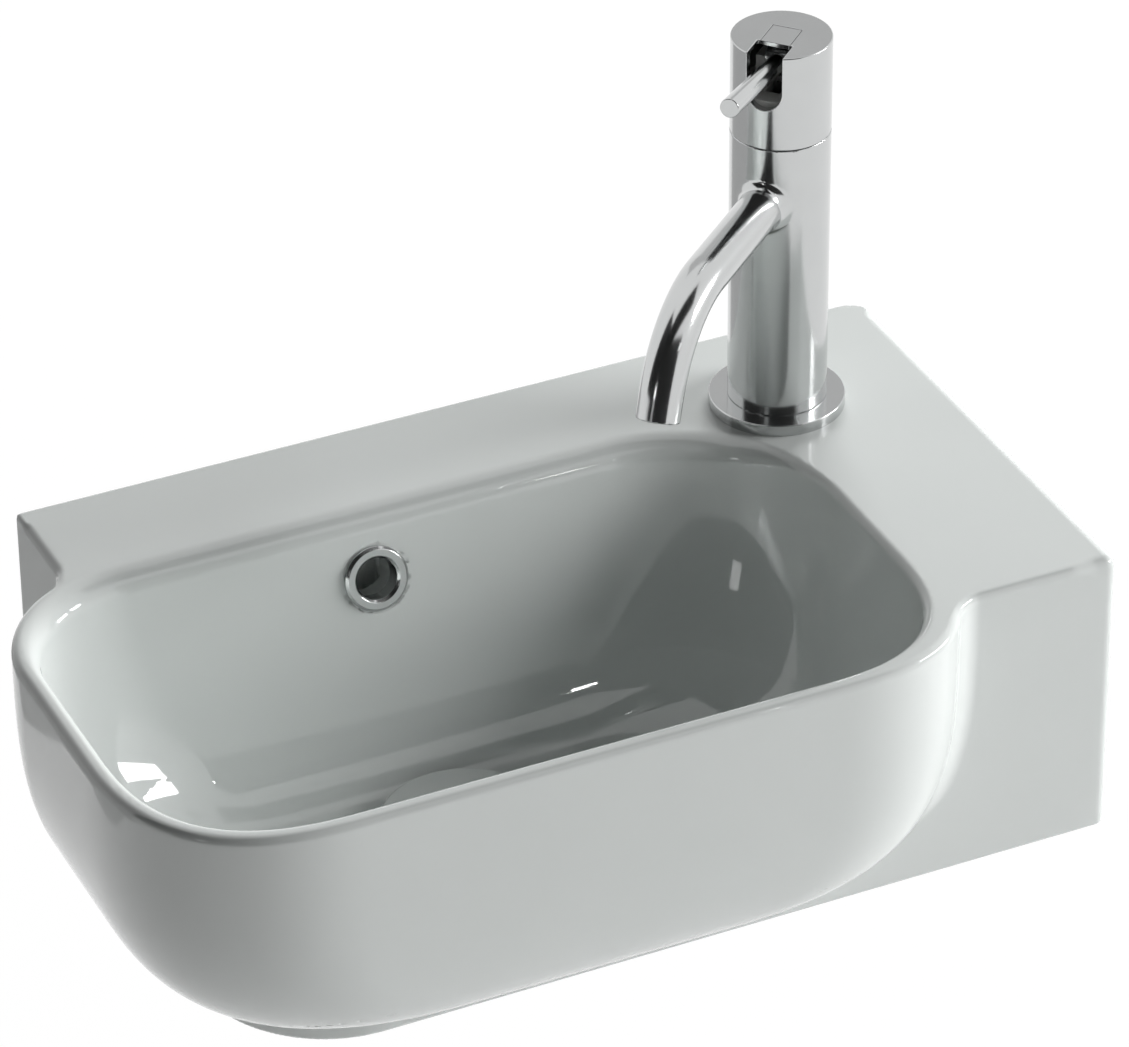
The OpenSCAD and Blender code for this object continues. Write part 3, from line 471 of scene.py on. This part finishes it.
def cap_field(x, y, z):
    """Control cap: hollow, slotted for the lever, with a seat for the insert in its top."""
    from_axis = np.hypot(x, y)
    solid = meet(from_axis - BODY_R, z - TAP_H, CAP_EDGE_R)
    solid = meet(solid, CAP_LOW - z, FINE_EDGE_R)
    solid = np.maximum(solid, -np.maximum(from_axis - CAP_ROOM_R, z - TAP_H + CAP_TOP_T))
    across = np.where(z > SLOT_Z, np.abs(y), np.hypot(y, z - SLOT_Z))
    solid = cut(solid, np.maximum(across - SLOT_HALF, SLOT_START - x), SLOT_EDGE_R)
    seat = np.maximum(np.maximum(np.abs(y) - INSERT_HALF, -INSERT_BACK - x), x - SLOT_START - 1)
    solid = cut(solid, np.maximum(seat, TAP_H - CAP_TOP_T - z), SEAT_EDGE_R)
    return np.maximum(solid, -np.maximum(np.hypot(y, z - SCREW_Z) - SCREW_R, x))


def insert_field(x, y, z):
    """Plate that closes the cap's top behind the slot."""
    back = INSERT_GAP - INSERT_BACK
    ends = np.maximum(back - x, x - SLOT_START)
    sides = meet(np.abs(y) - INSERT_HALF + INSERT_GAP, ends, FINE_EDGE_R)
    return meet(sides, np.maximum(TAP_H - CAP_TOP_T - z, z - TAP_H), INSERT_EDGE_R)


# Meshes from fields
CELL_EDGES = [
    (a, b)
    for a in range(8)
    for b in range(a + 1, 8)
    if bin(a ^ b).count("1") == 1
]


def corner_offset(corner):
    return np.array([corner & 1, corner >> 1 & 1, corner >> 2 & 1])


def net(field, low, high, step):
    """Vertices and four-sided faces of the surface where the field is zero."""
    axes = [np.arange(a - step, b + 2 * step, step) for a, b in zip(low, high)]
    x, y = np.meshgrid(axes[0], axes[1], indexing="ij")
    values = np.stack([field(x, y, z) for z in axes[2]], axis=2)
    inside = values < 0
    cells = tuple(n - 1 for n in values.shape)
    count = np.zeros(cells, np.int8)
    for corner in range(8):
        i, j, k = corner_offset(corner)
        count += inside[i : i + cells[0], j : j + cells[1], k : k + cells[2]]
    mixed = (count > 0) & (count < 8)
    at = np.argwhere(mixed)
    total = np.zeros((len(at), 3))
    crossings = np.zeros(len(at))
    for a, b in CELL_EDGES:
        oa, ob = corner_offset(a), corner_offset(b)
        fa = values[tuple((at + oa).T)]
        fb = values[tuple((at + ob).T)]
        crosses = (fa < 0) != (fb < 0)
        t = np.where(crosses, fa / np.where(crosses, fa - fb, 1), 0)[:, None]
        total += np.where(crosses[:, None], oa + t * (ob - oa), 0)
        crossings += crosses
    origin = np.array([axis[0] for axis in axes])
    points = origin + step * (at + total / crossings[:, None])
    number = np.full(cells, -1, np.int64)
    number[mixed] = np.arange(len(at))
    faces = []
    for axis in range(3):
        others = [k for k in range(3) if k != axis]
        span = [slice(0, n) for n in values.shape]
        first, second = list(span), list(span)
        first[axis] = slice(0, values.shape[axis] - 1)
        second[axis] = slice(1, values.shape[axis])
        for k in others:
            first[k] = second[k] = slice(1, values.shape[k] - 1)
        start, end = inside[tuple(first)], inside[tuple(second)]
        edges = np.argwhere(start != end)
        goes_out = start[tuple(edges.T)]
        edges = edges + np.array([0 if k == axis else 1 for k in range(3)])
        step_u, step_v = np.zeros(3, int), np.zeros(3, int)
        step_u[others[0]] = 1
        step_v[others[1]] = 1
        ring = [edges - step_u - step_v, edges - step_v, edges, edges - step_u]
        quad = np.stack([number[tuple(c.T)] for c in ring], axis=1)
        flip = goes_out if axis == 1 else ~goes_out
        quad[flip] = quad[flip][:, ::-1]
        faces.append(quad)
    return points, np.concatenate(faces)


def slopes(field, points, reach=0.05):
    """Gradient of the field at the points."""
    grad = np.zeros_like(points)
    for axis in range(3):
        shift = np.zeros(3)
        shift[axis] = reach
        ahead, behind = points + shift, points - shift
        grad[:, axis] = (field(*ahead.T) - field(*behind.T)) / (2 * reach)
    return grad


def settle(field, points, most, rounds):
    """Moves points onto the surface, no further than most."""
    for _ in range(rounds):
        grad = slopes(field, points)
        size = np.maximum((grad**2).sum(1), 0.04)
        move = -(field(*points.T) / size)[:, None] * grad
        length = np.linalg.norm(move, axis=1)[:, None]
        points = points + move * np.minimum(1, most / np.maximum(length, 1e-9))
    return points


def mesh_object(name, points, faces):
    mesh = bpy.data.meshes.new(name)
    mesh.from_pydata(points, [], faces)
    mesh.validate()
    obj = bpy.data.objects.new(name, mesh)
    bpy.context.scene.collection.objects.link(obj)
    return obj


def thinned(obj, faces_wanted):
    """Replaces the object's mesh by one with about that many triangles."""
    modifier = obj.modifiers.new("thin", "DECIMATE")
    modifier.ratio = min(1, faces_wanted / (2 * len(obj.data.polygons)))
    graph = bpy.context.evaluated_depsgraph_get()
    mesh = bpy.data.meshes.new_from_object(obj.evaluated_get(graph))
    obj.modifiers.clear()
    obj.data = mesh


def field_piece(name, field, low, high, step, faces_wanted, place):
    """Solid piece of a field, with the field's own normals, put into the part's frame."""
    points, faces = net(field, low, high, step)
    points = settle(field, points, step / 2, 1)
    obj = mesh_object(name, points.tolist(), faces.tolist())
    thinned(obj, faces_wanted)
    mesh = obj.data
    points = np.empty(len(mesh.vertices) * 3)
    mesh.vertices.foreach_get("co", points)
    points = settle(field, points.reshape(-1, 3), step / 3, 2)
    normals = slopes(field, points)
    normals /= np.maximum(np.linalg.norm(normals, axis=1), 1e-9)[:, None]
    turn, shift = place
    mesh.vertices.foreach_set("co", ((points @ turn.T + shift) * MM).ravel())
    mesh.shade_smooth()
    mesh.update()
    mesh.normals_split_custom_set_from_vertices((normals @ turn.T).tolist())
    return obj


def rounded_outline(corners, steps=6):
    """Points and outward normals of an outline walked with its inside on the left.

    A corner is r, z, radius.
    """
    points, normals = [], []
    for i, (r, z, radius) in enumerate(corners):
        at = Vector((r, z))
        come = (at - Vector(corners[i - 1][:2])).normalized()
        go = (Vector(corners[(i + 1) % len(corners)][:2]) - at).normalized()
        if r == 0:
            way = go if abs(come.x) < 1e-6 else come
            points.append(at)
            normals.append(Vector((0, math.copysign(1, -way.x))))
            continue
        start = math.atan2(come.y, come.x)
        turn = math.atan2(come.x * go.y - come.y * go.x, come.dot(go))
        side = math.copysign(radius, turn)
        centre = at - come * abs(radius * math.tan(turn / 2)) + side * Vector((-come.y, come.x))
        for k in range(steps + 1):
            angle = start + turn * k / steps
            out = Vector((math.sin(angle), -math.cos(angle)))
            points.append(centre + side * out)
            normals.append(out)
    return points, normals


def turned_piece(name, corners, place, steps=256):
    """Solid turned round its own Z from an outline, put into the part's frame."""
    points, normals = rounded_outline(corners)
    around = [2 * math.pi * k / steps for k in range(steps)]
    verts, outward = [], []
    number = np.zeros((steps, len(points)), int)
    for k, (point, normal) in enumerate(zip(points, normals)):
        on_axis = point.x == 0
        number[:, k] = len(verts) + np.arange(steps) * (not on_axis)
        for angle in around[:1] if on_axis else around:
            c, s = math.cos(angle), math.sin(angle)
            verts.append((point.x * c, point.x * s, point.y))
            outward.append((normal.x * c, normal.x * s, normal.y))
    faces = []
    for here, ahead in zip(number, np.roll(number, -1, axis=0)):
        for k in range(len(points)):
            after = (k + 1) % len(points)
            face = list(dict.fromkeys(int(v) for v in (here[k], ahead[k], ahead[after], here[after])))
            if len(face) > 2:
                faces.append(face)
    turn, shift = place
    obj = mesh_object(name, ((np.array(verts) @ turn.T + shift) * MM).tolist(), faces)
    obj.data.shade_smooth()
    obj.data.normals_split_custom_set_from_vertices((np.array(outward) @ turn.T).tolist())
    return obj


def turned_to(axis, side, base, at):
    """Frame whose Z runs along the axis and whose X runs along the side."""
    z, x = np.array(axis, float), np.array(side, float)
    return base @ np.stack([x, np.cross(z, x), z], axis=1), at


def finish_piece(obj, body, nodes, material):
    """Says what a piece rides on, which nodes it stands for and what it is made of."""
    obj.data.materials.clear()
    obj.data.materials.append(material)
    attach(obj, body)
    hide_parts(*nodes)
    return obj


# Materials
def new_material(name):
    material = bpy.data.materials.new(name)
    material.use_nodes = True
    nodes = material.node_tree.nodes
    links = material.node_tree.links
    shader = nodes["Principled BSDF"]
    place = nodes.new("ShaderNodeTexCoord").outputs["Object"]
    return material, nodes, links, shader, place


def noise(nodes, links, place, scale, detail=2):
    node = nodes.new("ShaderNodeTexNoise")
    node.inputs["Scale"].default_value = scale
    node.inputs["Detail"].default_value = detail
    links.new(place, node.inputs["Vector"])
    return node.outputs["Fac"]


def spread(nodes, links, value, low, high):
    """Maps 0..1 to low..high."""
    node = nodes.new("ShaderNodeMapRange")
    node.inputs["To Min"].default_value = low
    node.inputs["To Max"].default_value = high
    links.new(value, node.inputs["Value"])
    return node.outputs["Result"]


def tinted(nodes, links, value, first, second):
    node = nodes.new("ShaderNodeMix")
    node.data_type = "RGBA"
    colours = [s for s in node.inputs if s.type == "RGBA"]
    colours[0].default_value = (*first, 1)
    colours[1].default_value = (*second, 1)
    links.new(value, node.inputs[0])
    return next(s for s in node.outputs if s.type == "RGBA")


def bumped(nodes, links, shader, value, strength, distance):
    node = nodes.new("ShaderNodeBump")
    node.inputs["Strength"].default_value = strength
    node.inputs["Distance"].default_value = distance
    links.new(value, node.inputs["Height"])
    links.new(node.outputs["Normal"], shader.inputs["Normal"])


def simple_material(name, first, second, scale, rough, metal=0.0, bump=0.1, depth=0.0001):
    """Two close tones, uneven gloss and a fine bump."""
    material, nodes, links, shader, place = new_material(name)
    cloud = noise(nodes, links, place, scale)
    links.new(tinted(nodes, links, cloud, first, second), shader.inputs["Base Color"])
    links.new(spread(nodes, links, cloud, *rough), shader.inputs["Roughness"])
    shader.inputs["Metallic"].default_value = metal
    bumped(nodes, links, shader, noise(nodes, links, place, scale * 12), bump, depth)
    return material


# The darker and the lighter tone of each
GLAZE_TONES = ((0.655, 0.685, 0.672), (0.685, 0.712, 0.70))
CHROME_TONES = ((0.56, 0.57, 0.57), (0.60, 0.61, 0.61))


def glaze_material():
    """White sanitary glaze: faint clouding in the body, a hard clear gloss and a barely uneven surface."""
    material, nodes, links, shader, place = new_material("glaze")
    cloud = noise(nodes, links, place, 14, 3)
    colour = tinted(nodes, links, cloud, *GLAZE_TONES)
    links.new(colour, shader.inputs["Base Color"])
    links.new(spread(nodes, links, noise(nodes, links, place, 90), 0.03, 0.05), shader.inputs["Roughness"])
    shader.inputs["IOR"].default_value = 1.6
    bumped(nodes, links, shader, noise(nodes, links, place, 55), 0.04, 0.0004)
    return material


def chrome_material():
    """Polished chromium plate with a faint polishing grain."""
    material, nodes, links, shader, place = new_material("polished_metal")
    cloud = noise(nodes, links, place, 60)
    colour = tinted(nodes, links, cloud, *CHROME_TONES)
    links.new(colour, shader.inputs["Base Color"])
    links.new(spread(nodes, links, noise(nodes, links, place, 400), 0.14, 0.18), shader.inputs["Roughness"])
    shader.inputs["Metallic"].default_value = 1
    bumped(nodes, links, shader, noise(nodes, links, place, 900), 0.02, 0.00002)
    return material


glaze = glaze_material()
chrome = chrome_material()
MATERIALS = {
    "glaze": glaze,
    "polished_metal": chrome,
    "steel": simple_material("steel", (0.50, 0.50, 0.51), (0.58, 0.58, 0.58), 80, (0.22, 0.34), metal=1.0),
    "brass": simple_material("brass", (0.62, 0.46, 0.20), (0.70, 0.54, 0.26), 70, (0.25, 0.38), metal=1.0),
    "rubber": simple_material("rubber", (0.012, 0.012, 0.013), (0.02, 0.02, 0.021), 60, (0.6, 0.8), bump=0.3),
    "white_plastic": simple_material(
        "white_plastic", (0.70, 0.70, 0.68), (0.76, 0.76, 0.74), 50, (0.40, 0.5), bump=0.15
    ),
    "disc_ceramic": simple_material("disc_ceramic", (0.78, 0.78, 0.76), (0.82, 0.82, 0.80), 90, (0.2, 0.28)),
}

for row in frame["record"]["subparts"]:
    node = frame["nodes"][row["node"]]
    node.data.materials.clear()
    node.data.materials.append(MATERIALS[row["material_slot"]])
    node.data.shade_smooth()
    node.data.set_sharp_from_angle(angle=math.radians(30))

# Basin
basin = field_piece(
    "basin_casting",
    basin_field,
    (-BOWL_LEFT, -(BLOCK_D + BOWL_FRONT), -BASIN_H),
    (LEDGE_W, 0, 0),
    *BASIN_MESH,
    PART_FROM_LEDGE,
)
finish_piece(basin, "root", ["basin"], glaze)


# Tap
tap_shell = field_piece(
    "tap_shell",
    tap_shell_field,
    (-BODY_R, -BODY_R, -SPIGOT_L),
    (TAP_REACH, BODY_R, SEAM_Z),
    *TAP_MESH,
    PART_FROM_TAP,
)
finish_piece(tap_shell, "root", ["tap_body", "spout"], chrome)

flange = turned_piece(
    "tap_flange",
    [
        (SPIGOT_R + 0.05, 0, 0.1),
        (GASKET_RING[0], 0, 0.1),
        (GASKET_RING[0], GASKET_T, 0.1),
        (GASKET_RING[1], GASKET_T, 0.1),
        (GASKET_RING[1], 0, 0.1),
        (FLANGE_R, 0, 0.3),
        (FLANGE_R, FLANGE_T, 0.5),
        (SPIGOT_R + 0.05, FLANGE_T, 0.1),
    ],
    PART_FROM_TAP,
)
finish_piece(flange, "root", ["base_flange"], chrome)

cap = field_piece(
    "swivel_cap",
    cap_field,
    (-BODY_R, -BODY_R, CAP_LOW),
    (BODY_R, BODY_R, TAP_H),
    *CAP_MESH,
    PART_FROM_TAP,
)
finish_piece(cap, "control", ["control_cap"], chrome)

insert = field_piece(
    "cap_top_insert",
    insert_field,
    (-INSERT_BACK, -INSERT_HALF, TAP_H - CAP_TOP_T),
    (SLOT_START, INSERT_HALF, TAP_H),
    *INSERT_MESH,
    PART_FROM_TAP,
)
finish_piece(insert, "control", ["cap_insert"], chrome)

lever_axis = (math.cos(LEVER_RISE), 0, math.sin(LEVER_RISE))
lever_at = PART_FROM_TAP[1] + np.array([0, 0, PIVOT_Z])
lever = turned_piece(
    "lever_rod",
    [(0, LEVER_ROOT, 0), (LEVER_R, LEVER_ROOT, 0.4), (LEVER_R, LEVER_END, 0.4), (0, LEVER_END, 0)],
    turned_to(lever_axis, (0, 1, 0), TAP_AXES, lever_at),
    128,
)
finish_piece(lever, "lever", ["lever_pin"], chrome)

# Overflow ring and waste cap
overflow_axis = (0, -math.cos(OVERFLOW_LEAN), math.sin(OVERFLOW_LEAN))
overflow_at = LEDGE_AT + np.array([WASTE[0], -back_wall(-OVERFLOW_Z), OVERFLOW_Z])
overflow = turned_piece(
    "overflow_trim",
    [
        (RING_BORE_R, -RING_DEEP, 0.1),
        (RING_NECK_R, -RING_DEEP, 0.1),
        (RING_NECK_R, 0, 0.1),
        (RING_R, 0, 0.1),
        (RING_R, RING_EDGE_T, 0.5),
        (RING_FACE_R, RING_T, 0.8),
        (RING_NECK_R, RING_T, 0.8),
        (RING_BORE_R, RING_EDGE_T, 0.5),
    ],
    turned_to(overflow_axis, (1, 0, 0), np.eye(3), overflow_at),
)
finish_piece(overflow, "root", ["overflow_ring"], chrome)

waste_cap = turned_piece(
    "waste_lid",
    [
        (0, LID_SEAT_H, 0),
        (LID_SEAT_R, LID_SEAT_H, 0.1),
        (LID_SEAT_R, 0, 0.1),
        (CAP_R, 0, 1),
        (CAP_R, LID_EDGE_H, 1.6),
        LID_DOME,
        (0, LID_H, 0),
    ],
    (np.eye(3), LEDGE_AT + np.array([WASTE[0], WASTE[1], WASTE_CAP_Z])),
)
finish_piece(waste_cap, "plug", ["waste_cap"], glaze)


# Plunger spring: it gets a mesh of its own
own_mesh(frame["nodes"]["plunger_spring"])


# Light
AIM = (0, -0.13, 0)


def aimed(obj, target, roll=0):
    away = (obj.location - Vector(target)).to_track_quat("Z", "Y")
    obj.rotation_mode = "QUATERNION"
    obj.rotation_quaternion = away @ Matrix.Rotation(math.radians(roll), 3, "Z").to_quaternion()


def direction(azimuth, elevation):
    """Azimuth 0 is in front of the basin and 90 to its right."""
    a, e = math.radians(azimuth), math.radians(elevation)
    return Vector((math.sin(a) * math.cos(e), -math.cos(a) * math.cos(e), math.sin(e)))


def soft_box(name, azimuth, elevation, distance, size, level, roll=0):
    """Rectangular lamp. Level is the brightness of its face, where 1 is white."""
    light = bpy.data.lights.new(name, "AREA")
    light.shape = "RECTANGLE"
    light.size, light.size_y = size
    light.energy = level * size[0] * size[1] * math.pi
    obj = bpy.data.objects.new(name, light)
    bpy.context.scene.collection.objects.link(obj)
    obj.location = direction(azimuth, elevation) * distance
    aimed(obj, AIM, roll)
    obj.visible_camera = False
    return obj


# Lamps that light the shapes and stay out of reflections: azimuth, elevation, width and height, brightness
SHAPE_LAMPS = {
    "key": (71, 24, (1.9, 1.08), 13.2),
    "key_low": (75, 8, (1.8, 1.08), 10.0),
    "rear_right": (145, 26, (2.5, 1.8), 11.5),
    "front_low": (20, 8, (2.9, 1.44), 2.1),
    "left_low": (-120, 20, (2.16, 1.8), 1.1),
}
SHAPE_AWAY = 3.6
# Lamps that only reflections show: azimuth, elevation, width and height, brightness, roll in degrees
GLINT_LAMPS = {
    "window": (70, 22, (1.0, 0.24), 22, -32),
    "right_patch": (-57, 21, (0.2, 0.32), 3, 0),
    "thin_strip": (24.5, 34.4, (0.03, 0.05), 30, 0),
}
GLINT_AWAY = 2.0
# Cards that only reflections show: azimuth, elevation, distance, width and height, and how brightly the card
# glows, which is painted light standing in for lamplight on a pale card; 0 gives a black card
CARDS = {
    "front_card": (-30, 27, 2.3, (5.0, 2.8), 0.0),
    "side_card": (-84, 40, 2.4, (1.8, 2.8), 0.0),
    "top_card": (5, 72, 2.2, (2.6, 1.0), 0.0),
    "rear_card": (155, 33, 2.6, (1.6, 1.2), 0.62),
    "left_card": (-135, -28, 1.5, (1.8, 0.9), 0.5),
}
FLOOR_Z = -0.85
FLOOR_W = 8.0
FLOOR_GREY = 0.8
FLOOR_SHOWN = 0.97
ROOM_TINT = (0.95, 1, 0.98, 1)
ROOM_LEVEL = 0.02
CARD_GREY = 0.01


def lamps():
    for name, (azimuth, elevation, size, level) in SHAPE_LAMPS.items():
        soft_box(name, azimuth, elevation, SHAPE_AWAY, size, level).visible_glossy = False
    for name, (azimuth, elevation, size, level, roll) in GLINT_LAMPS.items():
        soft_box(name, azimuth, elevation, GLINT_AWAY, size, level, roll).visible_diffuse = False


def sheet_piece(name, width, height):
    """Flat stage sheet, square to its own Z."""
    mesh = bpy.data.meshes.new(name)
    w, h = width / 2, height / 2
    mesh.from_pydata([(-w, -h, 0), (w, -h, 0), (w, h, 0), (-w, h, 0)], [], [(0, 1, 2, 3)])
    obj = bpy.data.objects.new(name, mesh)
    bpy.context.scene.collection.objects.link(obj)
    return obj


def shown_rays(nodes, links):
    """1 for camera, glossy and transmission rays, otherwise 0."""
    path = nodes.new("ShaderNodeLightPath")
    found = path.outputs["Is Camera Ray"]
    for ray in ("Is Glossy Ray", "Is Transmission Ray"):
        either = nodes.new("ShaderNodeMath")
        either.operation = "MAXIMUM"
        links.new(found, either.inputs[0])
        links.new(path.outputs[ray], either.inputs[1])
        found = either.outputs[0]
    return found


def studio_world():
    """White where it is seen or mirrored, and a dim room light on the rest."""
    world = bpy.data.worlds.new("studio")
    bpy.context.scene.world = world
    world.use_nodes = True
    nodes, links = world.node_tree.nodes, world.node_tree.links
    room = nodes["Background"]
    room.inputs["Color"].default_value = ROOM_TINT
    room.inputs["Strength"].default_value = ROOM_LEVEL
    white = nodes.new("ShaderNodeBackground")
    white.inputs["Color"].default_value = (1, 1, 1, 1)
    mix = nodes.new("ShaderNodeMixShader")
    links.new(shown_rays(nodes, links), mix.inputs[0])
    links.new(room.outputs[0], mix.inputs[1])
    links.new(white.outputs[0], mix.inputs[2])
    links.new(mix.outputs[0], nodes["World Output"].inputs["Surface"])


def studio_floor():
    """Pale floor at the height of a real one, nearly white where it is seen."""
    floor = sheet_piece("floor", FLOOR_W, FLOOR_W)
    floor.location = (0, 0, FLOOR_Z)
    material = bpy.data.materials.new("floor")
    material.use_nodes = True
    nodes, links = material.node_tree.nodes, material.node_tree.links
    pale = nodes["Principled BSDF"]
    pale.inputs["Base Color"].default_value = (FLOOR_GREY, FLOOR_GREY, FLOOR_GREY, 1)
    pale.inputs["Roughness"].default_value = 0.9
    glow = nodes.new("ShaderNodeEmission")
    share = nodes.new("ShaderNodeMath")
    share.operation = "MULTIPLY"
    share.inputs[1].default_value = FLOOR_SHOWN
    links.new(shown_rays(nodes, links), share.inputs[0])
    mix = nodes.new("ShaderNodeMixShader")
    links.new(share.outputs[0], mix.inputs[0])
    links.new(pale.outputs[0], mix.inputs[1])
    links.new(glow.outputs[0], mix.inputs[2])
    links.new(mix.outputs[0], nodes["Material Output"].inputs["Surface"])
    floor.data.materials.append(material)


def cards():
    """Plain cards round the part, as a studio has for polished metal. A card that glows is painted light,
    standing in for lamplight on its face.
    """
    for name, (azimuth, elevation, distance, size, card_glow) in CARDS.items():
        card = sheet_piece(name, *size)
        card.location = direction(azimuth, elevation) * distance
        aimed(card, AIM)
        material = bpy.data.materials.new(name)
        material.use_nodes = True
        shader = material.node_tree.nodes["Principled BSDF"]
        shader.inputs["Base Color"].default_value = (CARD_GREY, CARD_GREY, CARD_GREY, 1)
        shader.inputs["Roughness"].default_value = 1
        # The card's glow is painted light in place of lamplight falling on it
        shader.inputs["Emission Color"].default_value = (1, 1, 1, 1)
        shader.inputs["Emission Strength"].default_value = card_glow
        card.data.materials.append(material)
        card.visible_camera = False
        card.visible_diffuse = False
        card.visible_shadow = False


lamps()
studio_world()
studio_floor()
cards()

# Camera
CAMERA_AT = Vector((-929.45, -2119.2, 1504.8)) * MM
CAMERA_AZIMUTH = -24.925
CAMERA_ELEVATION = 33.028
CAMERA_ROLL = -0.465
FRAME_W = 1129
FOCAL_PX = 6142.4
SENSOR_MM = 36


def make_camera():
    data = bpy.data.cameras.new("camera")
    data.sensor_width = SENSOR_MM
    data.lens = FOCAL_PX * SENSOR_MM / FRAME_W
    data.clip_end = 20
    camera = bpy.data.objects.new("camera", data)
    bpy.context.scene.collection.objects.link(camera)
    back = direction(CAMERA_AZIMUTH, CAMERA_ELEVATION)
    turn = back.to_track_quat("Z", "Y") @ Matrix.Rotation(math.radians(CAMERA_ROLL), 3, "Z").to_quaternion()
    camera.rotation_mode = "QUATERNION"
    camera.rotation_quaternion = turn
    camera.location = CAMERA_AT
    bpy.context.scene.camera = camera


make_camera()
bpy.context.scene.view_settings.view_transform = "Standard"
